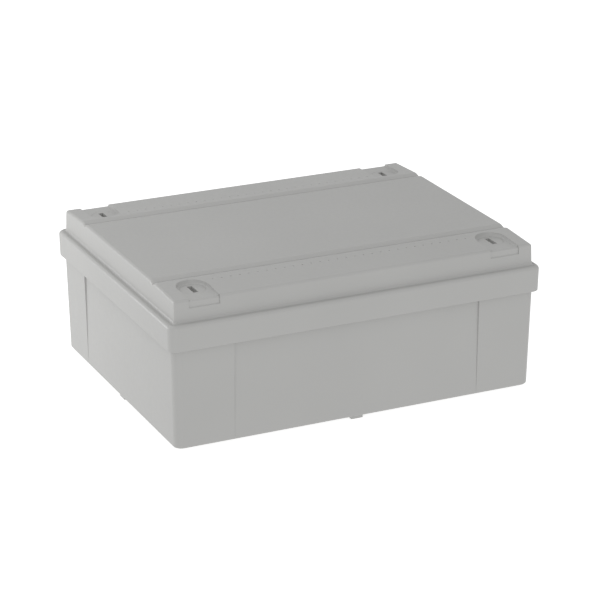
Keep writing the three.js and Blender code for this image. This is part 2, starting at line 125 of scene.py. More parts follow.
POST_RADIUS, POST_HIGH, POST_CAP, POST_BORE, POST_BORE_LOW = 8.2, 81.5, 3.0, 4.7, 60.0
POST_RIB, POST_RIB_HIGH, POST_EDGE = 2.0, 66.0, 0.5
SHANK_HOLE, KEY_WIDTH, KEY_LENGTH = 3.1, 3.4, 8.8  # a keyway in the post's cap lets the lugs through
FIXING_HOLE, FIXING_BOSS, FIXING_HIGH = 2.75, 6.0, 10.0
PLATE_BOSS_X, PLATE_BOSS_Y, PLATE_BOSS_RADIUS, PLATE_BOSS_HIGH, PLATE_PILOT = 62.0, 62.0, 4.0, 11.0, 1.5
RAIL_SCREW_X, RAIL_BOSS_RADIUS, RAIL_BOSS_HIGH, RAIL_PILOT = 75.0, 5.0, 10.7, 1.65
BOSS_EDGE = 0.4
PILOT_STEPS = 24

LID_INSET, LID_DRAFT, LID_RADIUS, LID_EDGE, LID_LOW = 4.5, 0.4, 1.2, 1.9, 78.5
LID_TOP_RADIUS = 0.5  # least corner radius over the top's rounded edge
LID_INNER_RADIUS = 1.0
SKIRT_THICK, SKIRT_SETBACK, SKIRT_EDGE = 2.4, 0.3, 0.4
LIP_LOW, LIP_LEDGE, LIP_HIGH = 83.2, 83.9, 85.6  # a small ledge, then a hollow fillet up the lid's wall
LIP_FLARE, LIP_EDGE, LIP_SLOPE = 1.36, 0.04, 0.1
GROOVE_Y, GROOVE_HALF, GROOVE_DEPTH, STRIP_DROP = 59.2, 4.2, 1.3, 1.5
CREASE_HALF, CREASE_DEPTH = 0.2, 0.4
GROOVE_SPREAD = 1.2  # where the shoulders end, in halves of the groove's width
GROOVE_SHOULDER = (  # place in halves of the groove's width, share of its depth
    (0.8, 0.2),
    (0.95, 0.08),
    (1.05, 0.02),
    (GROOVE_SPREAD, 0.0),
)
PLATE = 2.9
POCKET_START, POCKET_EDGE = 3.0, 0.6  # the ceiling is raised between the grooves
RIB_INSET, RIB_THICK, RIB_LOW, RIB_EDGE = 10.0, 2.0, 86.0, 0.3
CEILING_FILLET, CEILING_FILLET_MIDDLE = 1.2, 0.35
GASKET_CHANNEL_HIGH = 92.0
BOSS_MARGIN, BOSS_REACH, BOSS_SINK = 2.0, 0.4, 0.5
GUIDE_THICK, GUIDE_GAP = 2.4, 0.6  # round the screw, and above the post

RECESS_RADIUS, RECESS_FILLET, RECESS_RIM, RECESS_RIM_START, RECESS_EDGE = 10.1, 1.5, 0.22, 0.05, 1.0
RECESS_EDGE_GAP = 0.02  # keeps the tool that rounds the floor's edge off the recess's sides
RECESS_STEPS = 24
RECESS_WALL = (  # place across the fillet, share of the wall's height
    (0.0, 0.0),
    (0.2, 0.03),
    (0.4, 0.11),
    (0.6, 0.27),
    (0.78, 0.52),
    (0.92, 0.8),
    (1.0, 1.0),
)
RECESS_RIM_SHARES = (0.0, 0.35, 0.7, 0.94)  # of a quarter turn
RECESS_SETBACK, RECESS_LEDGE, RECESS_LEDGE_HIGH = 0.6, 92.4, 92.7
DIMPLE_Y, DIMPLE_PITCH, DIMPLE_COUNT, DIMPLE_RADIUS, DIMPLE_DEPTH = 70.0, 6.0, 30, 0.6, 0.45
DIMPLE_RINGS, DIMPLE_STEPS = 12, 14

HEAD_HEIGHT, HEAD_EDGE, HEAD_GAP, HEAD_STEPS = 4.0, 0.1, 0.07, 96
WELL_STEPS = 64
SHANK_RADIUS, SHANK_EDGE = 2.8, 0.5
SLOT_LENGTH, SLOT_WIDTH, SLOT_DEPTH, SLOT_FLARE = 10.9, 3.1, 3.2, 0.15
LUG_LENGTH, LUG_WIDTH, LUG_LOW, LUG_HIGH, LUG_EDGE = 8.2, 2.8, 74.6, 77.9, 0.25
SEAL_ROOM = 1.9
SEAT = RECESS_FLOOR - HEAD_HEIGHT - SEAL_ROOM  # what the screw's seal rests on


# ---------------------------------------------------------------- mesh helpers

ROUND_STEPS = 40  # round a rod or a bore
SMOOTH_ANGLE = math.radians(30)


def solid(name, verts, faces):
    """A closed mesh object in millimetres, with its faces turned outwards."""
    mesh = bpy.data.meshes.new(name)
    mesh.from_pydata([tuple(v) for v in verts], [], faces)
    work = bmesh.new()
    work.from_mesh(mesh)
    bmesh.ops.recalc_face_normals(work, faces=work.faces)
    work.to_mesh(mesh)
    work.free()
    obj = bpy.data.objects.new(name, mesh)
    bpy.context.scene.collection.objects.link(obj)
    return obj


def merged(name, tools):
    """Several solids that don't touch, as one object."""
    work = bmesh.new()
    for tool in tools:
        work.from_mesh(tool.data)
        bpy.data.objects.remove(tool)
    mesh = bpy.data.meshes.new(name)
    work.to_mesh(mesh)
    work.free()
    obj = bpy.data.objects.new(name, mesh)
    bpy.context.scene.collection.objects.link(obj)
    return obj


def combine(target, operation, *tools):
    """Joins tools to a solid or cuts them from it, in the order given."""
    for tool in tools:
        modifier = target.modifiers.new(tool.name, "BOOLEAN")
        modifier.operation = operation
        modifier.solver = "MANIFOLD"
        modifier.object = tool
    graph = bpy.context.evaluated_depsgraph_get()
    mesh = bpy.data.meshes.new_from_object(target.evaluated_get(graph))
    target.modifiers.clear()
    target.data = mesh
    for tool in tools:
        bpy.data.objects.remove(tool)
    return target


def quarter(steps):
    """Angles over a quarter turn."""
    return [math.pi / 2 * i / steps for i in range(steps + 1)]


def loft(name, rings, strips_on_last=False):
    """Rings of equal length joined by faces, with a face over each end.
    strips_on_last covers the last ring by strips along X, for a top whose height changes with Y."""
    count = len(rings[0])
    verts = [point for ring in rings for point in ring]
    faces = [tuple(reversed(range(count)))]
    for level in range(len(rings) - 1):
        base = level * count
        for i in range(count):
            j = (i + 1) % count
            faces.append((base + i, base + j, base + count + j, base + count + i))
    last = (len(rings) - 1) * count
    if not strips_on_last:
        faces.append(tuple(range(last, last + count)))
        return solid(name, verts, faces)
    across = sorted((i for i in range(count) if rings[-1][i][0] > 0), key=lambda i: rings[-1][i][1])
    mirror = sorted((i for i in range(count) if rings[-1][i][0] < 0), key=lambda i: rings[-1][i][1])
    for (a, b), (c, d) in zip(zip(across, across[1:]), zip(mirror, mirror[1:])):
        faces.append((last + a, last + b, last + d, last + c))
    return solid(name, verts, faces)


def lathe(name, profile, x, y, steps):
    """A solid of revolution about an upright axis. The profile starts and ends on the axis."""
    inner = profile[1:-1]
    verts = [(x, y, profile[0][1])]
    for radius, z in inner:
        for i in range(steps):
            angle = 2 * math.pi * i / steps
            verts.append((x + radius * math.cos(angle), y + radius * math.sin(angle), z))
    verts.append((x, y, profile[-1][1]))
    last = len(verts) - 1
    faces = []
    for i in range(steps):
        j = (i + 1) % steps
        faces.append((0, 1 + j, 1 + i))
        for level in range(len(inner) - 1):
            base = 1 + level * steps
            faces.append((base + i, base + j, base + steps + j, base + steps + i))
        base = 1 + (len(inner) - 1) * steps
        faces.append((base + i, base + j, last))
    return solid(name, verts, faces)


def rod(radius, low, high, x, y, edge, steps=ROUND_STEPS):
    """A round bar whose two ends have rounded edges."""
    bottom = [(radius - edge * (1 - math.sin(a)), low + edge * (1 - math.cos(a))) for a in quarter(3)]
    top = [(radius - edge * (1 - math.cos(a)), high - edge * (1 - math.sin(a))) for a in quarter(3)]
    return lathe("rod", [(0, low)] + bottom + top + [(0, high)], x, y, steps)


def bore(radius, low, high, x, y, steps=ROUND_STEPS):
    """A tool that cuts a round hole."""
    return lathe("bore", [(0, low), (radius, low), (radius, high), (0, high)], x, y, steps)


def block(x, y, z, edge=0.3):
    """A box between the two places given on each axis, with rounded edges."""
    work = bmesh.new()
    bmesh.ops.create_cube(work, size=1)
    size = [abs(pair[1] - pair[0]) for pair in (x, y, z)]
    middle = [(pair[0] + pair[1]) / 2 for pair in (x, y, z)]
    bmesh.ops.scale(work, vec=size, verts=work.verts)
    bmesh.ops.translate(work, vec=middle, verts=work.verts)
    if edge:
        bmesh.ops.bevel(work, geom=work.edges[:], offset=edge, segments=3, profile=0.5, affect="EDGES")
    mesh = bpy.data.meshes.new("block")
    work.to_mesh(mesh)
    work.free()
    obj = bpy.data.objects.new("block", mesh)
    bpy.context.scene.collection.objects.link(obj)
    return obj


def along_x(name, section, low, high):
    """A section of (y, z) points, extruded along X."""
    return loft(name, [[(x, y, z) for y, z in section] for x in (low, high)])


def publish(obj, name, body, slot, material, *nodes):
    """Turns a finished solid into a piece in metres that rides on a body and stands for CAD nodes."""
    obj.name = name
    obj.data.name = name
    obj.data.transform(Matrix.Scale(MM, 4))
    obj.data.materials.clear()
    obj.data.materials.append(material)
    obj.data.polygons.foreach_set("use_smooth", [True] * len(obj.data.polygons))
    obj.data.set_sharp_from_angle(angle=SMOOTH_ANGLE)
    weighted = obj.modifiers.new("weighted_normals", "WEIGHTED_NORMAL")
    weighted.keep_sharp = True
    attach(obj, body)
    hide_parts(*nodes)
    return obj


# ---------------------------------------------------------------- outlines

SIDES = ((1, 0, 0, -1), (0, 1, 1, 0), (-1, 0, 0, 1), (0, -1, -1, 0))  # along and outward, for each side


def outline(inset, z, radius, breaks, proud=0.0, steps=8):
    """A rounded rectangle set in from the band's, as points at height z, which may depend on y.
    breaks(side) gives places along a side with how far the outline stands out there."""
    points = []
    for side, (tx, ty, nx, ny) in enumerate(SIDES):
        half_along, half_out = (HALF_X, HALF_Y) if side % 2 == 0 else (HALF_Y, HALF_X)
        for place, out in breaks(side):
            reach = half_out - inset + out
            points.append((tx * place + nx * reach, ty * place + ny * reach))
        centre_along = half_along - inset + proud - radius
        centre_out = half_out - inset + proud - radius
        for angle in quarter(steps):
            along = centre_along + radius * math.sin(angle)
            out = centre_out + radius * math.cos(angle)
            points.append((tx * along + nx * out, ty * along + ny * out))
    return [(x, y, z(y) if callable(z) else z) for x, y in points]


# ---------------------------------------------------------------- base

def step_breaks(proud, groove):
    """Where the flat panels end: a thin line cut in, then the step up to the corner zone."""
    def breaks(side):
        edge = ZONE_X if side % 2 == 0 else ZONE_Y
        cut = groove if side % 2 == 0 else 0.0
        half = [(edge + place, rise * proud - depth * cut) for place, depth, rise in STEP_SECTION]
        return [(-place, out) for place, out in reversed(half)] + half
    return breaks


def base_ring(inset, z, radius, share=0.0):
    """An outline of the base, with a share of the corner zones' step."""
    proud = ZONE_PROUD * share
    return outline(inset, z, radius, step_breaks(proud, STEP_GROOVE * share), proud)


def base_tub():
    """The tub, its raised band, the lid's channel and the tongue, as one skin.
    It runs from the underside up the outside, over the band and the tongue, and down to the inner floor."""
    wall_low = FOOT_HEIGHT + WALL_EDGE
    rings = []
    for a in quarter(6):
        inset = WALL_INSET + WALL_EDGE * (1 - math.sin(a))
        rings.append(base_ring(inset, FOOT_HEIGHT + WALL_EDGE * (1 - math.cos(a)), WALL_RADIUS))
    rings.append(base_ring(WALL_INSET, wall_low + ZONE_START, WALL_RADIUS, ZONE_START_SHARE))
    rings.append(base_ring(WALL_INSET, BAND_LOW - BAND_NECK, WALL_RADIUS, 1.0))
    rings.append(base_ring(WALL_INSET - 0.15 * BAND_NECK, BAND_LOW - 0.3 * BAND_NECK, WALL_RADIUS, 1.0))
    under = WALL_INSET - ZONE_PROUD - BAND_NECK
    rings.append(base_ring(under, BAND_LOW, WALL_RADIUS))
    for a in quarter(4):
        inset = BAND_DRAFT + BAND_NECK * (1 - math.sin(a))
        rings.append(base_ring(inset, BAND_LOW + BAND_NECK * (1 - math.cos(a)), WALL_RADIUS))
    for a in quarter(8):
        inset = BAND_ROUND_IN * (1 - math.cos(a))
        rings.append(base_ring(inset, BAND_HIGH - BAND_ROUND_DOWN * (1 - math.sin(a)), WALL_RADIUS))
    for a in quarter(3):
        inset = CHANNEL_INSET - BAND_EDGE * (1 - math.sin(a))
        rings.append(base_ring(inset, BAND_HIGH - BAND_EDGE * (1 - math.cos(a)), CHANNEL_RADIUS))
    rings.append(base_ring(CHANNEL_INSET, CHANNEL_LOW, CHANNEL_RADIUS))
    rings.append(base_ring(TONGUE_INSET, CHANNEL_LOW, TONGUE_RADIUS))
    for a in quarter(4):
        inset = TONGUE_INSET + TONGUE_EDGE * (1 - math.cos(a))
        rings.append(base_ring(inset, TONGUE_HIGH - TONGUE_EDGE * (1 - math.sin(a)), TONGUE_RADIUS))
    for a in quarter(4):
        inset = TONGUE_INSET + TONGUE_THICK - TONGUE_EDGE * (1 - math.sin(a))
        rings.append(base_ring(inset, TONGUE_HIGH - TONGUE_EDGE * (1 - math.cos(a)), TONGUE_INNER_RADIUS))
    rings.append(base_ring(TONGUE_INSET + TONGUE_THICK, TONGUE_LOW, TONGUE_INNER_RADIUS))
    rings.append(base_ring(CAVITY_INSET - CAVITY_DRAFT, TONGUE_LOW, CAVITY_RADIUS))
    for a in quarter(5):
        inset = CAVITY_INSET + CAVITY_EDGE * (1 - math.cos(a))
        rings.append(base_ring(inset, FLOOR + CAVITY_EDGE * (1 - math.sin(a)), CAVITY_RADIUS))
    return loft("base_tub", rings)


def base_additions():
    """Screw posts with their ribs, bosses and feet, in groups that don't touch each other."""
    low = FLOOR - OVERLAP
    rib = POST_RIB / 2
    rods, ribs_x, ribs_y, bosses = [], [], [], []
    for _, sx, sy in CORNERS:
        x, y = sx * SCREW_X, sy * SCREW_Y
        reach_x = sx * (HALF_X - WALL_INSET - OVERLAP)
        reach_y = sy * (HALF_Y - WALL_INSET - OVERLAP)
        rods.append(rod(POST_RADIUS, low, POST_HIGH, x, y, POST_EDGE))
        ribs_x.append(block((x, reach_x), (y - rib, y + rib), (low, POST_RIB_HIGH)))
        ribs_y.append(block((x - rib, x + rib), (y, reach_y), (low, POST_RIB_HIGH)))
        bosses.append(rod(FIXING_BOSS, low, FIXING_HIGH, sx * FIXING_X, sy * FIXING_Y, POST_EDGE))
        plate = (sx * PLATE_BOSS_X, sy * PLATE_BOSS_Y)
        bosses.append(rod(PLATE_BOSS_RADIUS, low, PLATE_BOSS_HIGH, *plate, BOSS_EDGE))
    for side in (-1, 1):
        bosses.append(rod(RAIL_BOSS_RADIUS, low, RAIL_BOSS_HIGH, side * RAIL_SCREW_X, 0, BOSS_EDGE))
    feet = []
    half = FOOT_WIDTH / 2
    for side in (-1, 1):
        front = side * (HALF_Y - WALL_INSET - WALL_EDGE)
        end = side * (HALF_X - WALL_INSET - WALL_EDGE)
        span_z = (0, FOOT_HEIGHT + OVERLAP)
        feet.append(block((-half, half), (front - side * FOOT_LENGTH, front), span_z))
        feet.append(block((end - side * FOOT_LENGTH, end), (-half, half), span_z))
    groups = (("posts", rods), ("ribs_x", ribs_x), ("ribs_y", ribs_y), ("bosses", bosses), ("feet", feet))
    return [merged(name, pieces) for name, pieces in groups]


def base_holes():
    """The posts' bores with a keyway through each cap, the wall fixing holes and the pilot holes."""
    bores, shanks, keys = [], [], []
    cap_low = POST_HIGH - POST_CAP
    span_z = (cap_low - OVERLAP, POST_HIGH + OVERLAP)
    for _, sx, sy in CORNERS:
        x, y = sx * SCREW_X, sy * SCREW_Y
        bores.append(bore(POST_BORE, POST_BORE_LOW, cap_low, x, y))
        shanks.append(bore(SHANK_HOLE, *span_z, x, y))
        half_width, half_length = KEY_WIDTH / 2, KEY_LENGTH / 2
        span_x, span_y = (x - half_width, x + half_width), (y - half_length, y + half_length)
        keys.append(block(span_x, span_y, span_z, 0))
        bores.append(bore(FIXING_HOLE, -OVERLAP, FIXING_HIGH + OVERLAP, sx * FIXING_X, sy * FIXING_Y))
        plate = (sx * PLATE_BOSS_X, sy * PLATE_BOSS_Y)
        bores.append(bore(PLATE_PILOT, FLOOR, PLATE_BOSS_HIGH + OVERLAP, *plate, PILOT_STEPS))
    for side in (-1, 1):
        bores.append(bore(RAIL_PILOT, FLOOR, RAIL_BOSS_HIGH + OVERLAP, side * RAIL_SCREW_X, 0, PILOT_STEPS))
    return [merged("bores", bores), merged("shank_holes", shanks), merged("keyways", keys)]


def make_base(material):
    shell = combine(base_tub(), "UNION", *base_additions())
    combine(shell, "DIFFERENCE", *base_holes())
    return publish(shell, "base_shell_moulding", "base", "shell_plastic", material, "base_shell")


# ---------------------------------------------------------------- lid

def groove_profile():
    """Places away from the lid's long middle line, with the groove's depth there: a wide V with soft
    shoulders and a sharp crease along its bottom."""
    side = [(CREASE_HALF, 1 - CREASE_HALF / GROOVE_HALF)]
    side += [(place * GROOVE_HALF, share) for place, share in GROOVE_SHOULDER]
    inner = [(GROOVE_Y - away, share * GROOVE_DEPTH) for away, share in reversed(side)]
    outer = [(GROOVE_Y + away, share * GROOVE_DEPTH) for away, share in side]
    return inner + [(GROOVE_Y, GROOVE_DEPTH + CREASE_DEPTH)] + outer


def strip_height(away):
    """Height of the plain top, which falls evenly over the two outer strips."""
    start = GROOVE_Y + GROOVE_HALF
    share = max(0.0, away - start) / (LID_SIDE_Y - start)
    return TOP - STRIP_DROP * share


LID_SIDE_Y = HALF_Y - LID_INSET - LID_DRAFT  # of the lid's long walls, at their upper end
TOP_PROFILE = [(away, strip_height(away) - depth) for away, depth in groove_profile()]
TOP_PROFILE.append((LID_SIDE_Y, TOP - STRIP_DROP))


def top_height(y):
    """Height of the lid's top, which falls a little over the two outer strips and has two grooves."""
    away = abs(y)
    if away <= TOP_PROFILE[0][0]:
        return TOP
    for (near, high), (far, low) in zip(TOP_PROFILE, TOP_PROFILE[1:]):
        if away <= far:
            return high + (low - high) * (away - near) / (far - near)
    return TOP - STRIP_DROP


def lid_breaks(side):
    """Short sides have a point wherever the top's slope changes."""
    if side % 2 == 0:
        return []
    half = [(away, 0.0) for away, _ in TOP_PROFILE[:-1]]
    return [(-place, out) for place, out in reversed(half)] + half


def lid_ring(inset, z, radius):
    """An outline of the lid."""
    return outline(inset, z, radius, lid_breaks, steps=10)


def lid_cover():
    """The lid as one skin, from its ceiling down the inside, round the skirt and up over the top."""
    ceiling = TOP - STRIP_DROP - PLATE
    rib_inner = RIB_INSET + RIB_THICK
    skirt_inner = LID_INSET + SKIRT_THICK
    skirt_outer = LID_INSET + SKIRT_SETBACK
    inside = (
        (rib_inner + CEILING_FILLET, ceiling),
        (rib_inner + CEILING_FILLET_MIDDLE, ceiling - CEILING_FILLET_MIDDLE),
        (rib_inner, ceiling - CEILING_FILLET),
        (rib_inner, RIB_LOW + RIB_EDGE),
        (rib_inner - RIB_EDGE, RIB_LOW),
        (RIB_INSET + RIB_EDGE, RIB_LOW),
        (RIB_INSET, RIB_LOW + RIB_EDGE),
        (RIB_INSET, GASKET_CHANNEL_HIGH),
        (skirt_inner, GASKET_CHANNEL_HIGH),
        (skirt_inner, LID_LOW + SKIRT_EDGE),
        (skirt_inner - SKIRT_EDGE, LID_LOW),
    )
    rings = [lid_ring(inset, z, LID_INNER_RADIUS) for inset, z in inside]
    rings.append(lid_ring(skirt_outer + SKIRT_EDGE, LID_LOW, LID_RADIUS))
    rings.append(lid_ring(skirt_outer, LID_LOW + SKIRT_EDGE, LID_RADIUS))
    rings.append(lid_ring(skirt_outer, LIP_LOW - LIP_SLOPE, LID_RADIUS))
    # The lid's foot flares out to a small ledge, and a hollow fillet leads from it to the wall.
    foot = LID_INSET - LIP_FLARE
    for a in quarter(4):
        inset = foot + LIP_EDGE * (1 - math.sin(a))
        rings.append(lid_ring(inset, LIP_LOW + LIP_EDGE * (1 - math.cos(a)), LID_RADIUS))
    for a in quarter(4):
        inset = foot + LIP_EDGE * (1 - math.cos(a))
        rings.append(lid_ring(inset, LIP_LEDGE - LIP_EDGE * (1 - math.sin(a)), LID_RADIUS))
    wall = LID_INSET + LID_DRAFT * (LIP_HIGH - LIP_LOW) / (TOP - LIP_LOW)
    for a in quarter(8)[1:]:
        inset = foot + LIP_EDGE + (wall - foot - LIP_EDGE) * math.sin(a)
        rings.append(lid_ring(inset, LIP_LEDGE + (LIP_HIGH - LIP_LEDGE) * (1 - math.cos(a)), LID_RADIUS))
    top_inset = LID_INSET + LID_DRAFT
    for a in quarter(8):
        drop = LID_EDGE * (1 - math.sin(a))
        inset = top_inset + LID_EDGE * (1 - math.cos(a))
        radius = max(LID_RADIUS - LID_EDGE * (1 - math.cos(a)), LID_TOP_RADIUS)
        rings.append(lid_ring(inset, lambda y, drop=drop: top_height(y) - drop, radius))
    return loft("lid_cover", rings, strips_on_last=True)


def arch(sx, sy, margin, z, far=FAR):
    """The screw recess's outline at one corner: round towards the lid's middle, open at its long side."""
    radius = RECESS_RADIUS + margin
    turns = [math.pi * i / RECESS_STEPS for i in range(RECESS_STEPS + 1)]
    flat = [(radius, far)]
    flat += [(radius * math.cos(a), -radius * math.sin(a)) for a in turns]
    flat += [(-radius, far)]
    points = [(sx * SCREW_X + u, sy * (SCREW_Y + v)) for u, v in flat]
    return [(x, y, z(y) if callable(z) else z) for x, y in points]


def recess_dish(sx, sy):
    """Cuts the recess, with a soft foot to its wall and a rounded rim that follows the lid's slope."""
    def wall(share):
        return lambda y: RECESS_FLOOR + share * (top_height(y) - RECESS_RIM - RECESS_FLOOR)

    rings = [arch(sx, sy, RECESS_FILLET * (place - 1), wall(share)) for place, share in RECESS_WALL]
    for share in RECESS_RIM_SHARES:
        angle = share * math.pi / 2
        margin = RECESS_RIM_START + RECESS_RIM * (1 - math.cos(angle))
        drop = RECESS_RIM * (1 - math.sin(angle))
        rings.append(arch(sx, sy, margin, lambda y, drop=drop: top_height(y) - drop))
    rings.append(arch(sx, sy, RECESS_RIM_START + RECESS_RIM, ABOVE))
    return loft("recess_dish", rings)


def recess_face(sx, sy):
    """Cuts the recess's front face back from the lid's, down to a sloping ledge."""
    x = sx * SCREW_X
    face = LID_SIDE_Y - RECESS_SETBACK
    section = [
        (face, ABOVE),
        (face, RECESS_LEDGE_HIGH + 0.5),
        (face + 0.1, RECESS_LEDGE_HIGH + 0.22),
        (face + 0.3, RECESS_LEDGE_HIGH - 0.05),
        (LID_SIDE_Y, RECESS_LEDGE + 0.06),
        (LID_SIDE_Y + 0.5, RECESS_LEDGE - 0.3),
        (LID_SIDE_Y + FAR, RECESS_LEDGE - 0.3),
        (LID_SIDE_Y + FAR, ABOVE),
    ]
    section = [(sy * y, z) for y, z in section]
    return along_x("recess_face", section, x - RECESS_RADIUS, x + RECESS_RADIUS)


def recess_edge(sx, sy):
    """Rounds the outer edge of the recess's floor."""
    x = sx * SCREW_X
    half = RECESS_RADIUS - RECESS_EDGE_GAP
    face = LID_SIDE_Y - RECESS_SETBACK
    section = [
        (face - RECESS_EDGE * (1 - math.cos(a)), RECESS_FLOOR - RECESS_EDGE * (1 - math.sin(a)))
        for a in quarter(5)
    ]
    section.append((face - RECESS_EDGE, RECESS_FLOOR + OVERLAP))
    section.append((face + OVERLAP, RECESS_FLOOR + OVERLAP))
    section.append((face + OVERLAP, RECESS_FLOOR - RECESS_EDGE))
    return along_x("recess_edge", [(sy * y, z) for y, z in section], x - half, x + half)


def lid_boss(sx, sy):
    """Thickens the lid under a recess and guides the screw."""
    reach = HALF_Y - LID_INSET - SKIRT_THICK - SCREW_Y + BOSS_REACH
    high = RECESS_FLOOR - BOSS_SINK
    pad = loft("boss_pad", [arch(sx, sy, BOSS_MARGIN, z, reach) for z in (RECESS_FLOOR - PLATE, high)])
    guide = rod(POST_RADIUS + GUIDE_THICK, POST_HIGH + GUIDE_GAP, high, sx * SCREW_X, sy * SCREW_Y, RIB_EDGE)
    return combine(pad, "UNION", guide)


def dimples():
    """Two rows of shallow dots, one on each outer strip."""
    sphere = (DIMPLE_RADIUS ** 2 + DIMPLE_DEPTH ** 2) / (2 * DIMPLE_DEPTH)
    z = top_height(DIMPLE_Y) - DIMPLE_DEPTH + sphere
    turns = [math.pi * k / DIMPLE_RINGS for k in range(DIMPLE_RINGS + 1)]
    ball = [(sphere * math.sin(a), z - sphere * math.cos(a)) for a in turns]
    tools = []
    for sy in (-1, 1):
        for i in range(DIMPLE_COUNT):
            x = (i - (DIMPLE_COUNT - 1) / 2) * DIMPLE_PITCH
            tools.append(lathe("dimple", ball, x, sy * DIMPLE_Y, DIMPLE_STEPS))
    return merged("dimples", tools)


def screw_well(sx, sy):
    """Cuts the well for a screw's head and its seal."""
    return bore(HEAD_RADIUS + HEAD_GAP, SEAT, TOP + OVERLAP, sx * SCREW_X, sy * SCREW_Y, WELL_STEPS)


def screw_guide(sx, sy):
    """Cuts the hole for a screw's shank, from its well down."""
    return bore(POST_BORE, POST_HIGH, SEAT + OVERLAP, sx * SCREW_X, sy * SCREW_Y)


def at_corners(name, make):
    """One solid per corner, as one object."""
    return merged(name, [make(sx, sy) for _, sx, sy in CORNERS])


def make_lid(material):
    lid = combine(lid_cover(), "UNION", at_corners("bosses", lid_boss))
    tools = [
        at_corners("dishes", recess_dish),
        at_corners("faces", recess_face),
        at_corners("edges", recess_edge),
        at_corners("wells", screw_well),
        at_corners("guides", screw_guide),
    ]
    half_x = HALF_X - RIB_INSET - RIB_THICK - CEILING_FILLET
    half_y = GROOVE_Y - GROOVE_SPREAD * GROOVE_HALF
    span_z = (TOP - STRIP_DROP - PLATE - POCKET_START, TOP - PLATE)
    tools.append(block((-half_x, half_x), (-half_y, half_y), span_z, POCKET_EDGE))
    combine(lid, "DIFFERENCE", *tools)
    combine(lid, "DIFFERENCE", dimples())
    return publish(lid, "lid_moulding", "lid", "shell_plastic", material, "lid")


# ---------------------------------------------------------------- lid screws

def slot_cutter(x, y):
    """A straight slot with a slightly flared mouth."""
    rings = []
    for grow, depth in ((0.0, SLOT_DEPTH), (0.0, SLOT_FLARE), (SLOT_FLARE, 0.0), (SLOT_FLARE, -OVERLAP)):
        half_x, half_y = SLOT_WIDTH / 2 + grow, SLOT_LENGTH / 2 + grow
        z = RECESS_FLOOR - depth
        rings.append([(x + u * half_x, y + v * half_y, z) for u, v in ((-1, -1), (1, -1), (1, 1), (-1, 1))])
    return loft("slot", rings)


def make_lid_screw(corner, sx, sy, material):
    """A slotted head on a shank, with two lugs that lock under the post's cap."""
    x, y = sx * SCREW_X, sy * SCREW_Y
    head_low = RECESS_FLOOR - HEAD_HEIGHT
    head = rod(HEAD_RADIUS, head_low, RECESS_FLOOR, x, y, HEAD_EDGE, HEAD_STEPS)
    shank = rod(SHANK_RADIUS, SCREW_TIP, head_low + SHANK_EDGE, x, y, SHANK_EDGE)
    half_width, half_length = LUG_WIDTH / 2, LUG_LENGTH / 2
    span_x, span_y = (x - half_width, x + half_width), (y - half_length, y + half_length)
    lugs = block(span_x, span_y, (LUG_LOW, LUG_HIGH), LUG_EDGE)
    screw = combine(head, "UNION", shank, lugs)
    combine(screw, "DIFFERENCE", slot_cutter(x, y))
    node = f"lid_screw_{corner}"
    return publish(screw, f"{node}_moulding", node, "screw_plastic", material, node)


# ---------------------------------------------------------------- materials

# Noise scales are per metre, and bump distances are in metres.

RAMP_START, RAMP_END = 0.3, 0.7  # the part of a noise's range that a ramp spreads out
PLASTIC_TONE_SCALE, PLASTIC_GLOSS_SCALE, PLASTIC_GRAIN_SCALE = 14.0, 420.0, 2600.0
PLASTIC_GRAIN, PLASTIC_SPECULAR = 0.000012, 0.4
RUBBER_TONE_SCALE, RUBBER_GLOSS_SCALE, RUBBER_GRAIN_SCALE = 300.0, 900.0, 3000.0
RUBBER_GRAIN = 0.00003
METAL_TONE_SCALE, METAL_LINE_SCALE, METAL_LINE_STRETCH = 180.0, 900.0, (0.04, 1, 1)
METAL_GRAIN = 0.00001

WELD_DISTANCE = 0.001
SOFT_EDGE = 0.12  # on the CAD nodes that keep their shape
SOFT_ANGLE = math.radians(35)


def shader_of(name, color, roughness, metallic=0.0):
    material = bpy.data.materials.new(name)
    material.use_nodes = True
    nodes = material.node_tree.nodes
    shader = nodes["Principled BSDF"]
    shader.inputs["Base Color"].default_value = (*color, 1)
    shader.inputs["Roughness"].default_value = roughness
    shader.inputs["Metallic"].default_value = metallic
    return material, shader


def noise(material, scale, detail=3.0, stretch=(1, 1, 1)):
    """Noise over the object's own space, in metres."""
    nodes, links = material.node_tree.nodes, material.node_tree.links
    place = nodes.new("ShaderNodeTexCoord")
    mapping = nodes.new("ShaderNodeMapping")
    mapping.inputs["Scale"].default_value = stretch
    texture = nodes.new("ShaderNodeTexNoise")
    texture.inputs["Scale"].default_value = scale
    texture.inputs["Detail"].default_value = detail
    links.new(place.outputs["Object"], mapping.inputs["Vector"])
    links.new(mapping.outputs["Vector"], texture.inputs["Vector"])
    return texture.outputs["Fac"]


def vary(material, shader, factor, socket, low, high):
    """Drives a shader socket between two values, or two colours, by a texture."""
    nodes, links = material.node_tree.nodes, material.node_tree.links
    ramp = nodes.new("ShaderNodeValToRGB")
    ramp.color_ramp.elements[0].position = RAMP_START
    ramp.color_ramp.elements[1].position = RAMP_END
    for element, value in zip(ramp.color_ramp.elements, (low, high)):
        element.color = (*value, 1) if isinstance(value, tuple) else (value, value, value, 1)
    links.new(factor, ramp.inputs["Fac"])
    links.new(ramp.outputs["Color"], shader.inputs[socket])


def grain(material, shader, factor, distance):
    """Bumps the surface by a texture."""
    nodes, links = material.node_tree.nodes, material.node_tree.links
    bump = nodes.new("ShaderNodeBump")
    bump.inputs["Distance"].default_value = distance
    bump.inputs["Strength"].default_value = 1.0
    links.new(factor, bump.inputs["Height"])
    links.new(bump.outputs["Normal"], shader.inputs["Normal"])


def shade(color, share):
    return tuple(c * share for c in color)


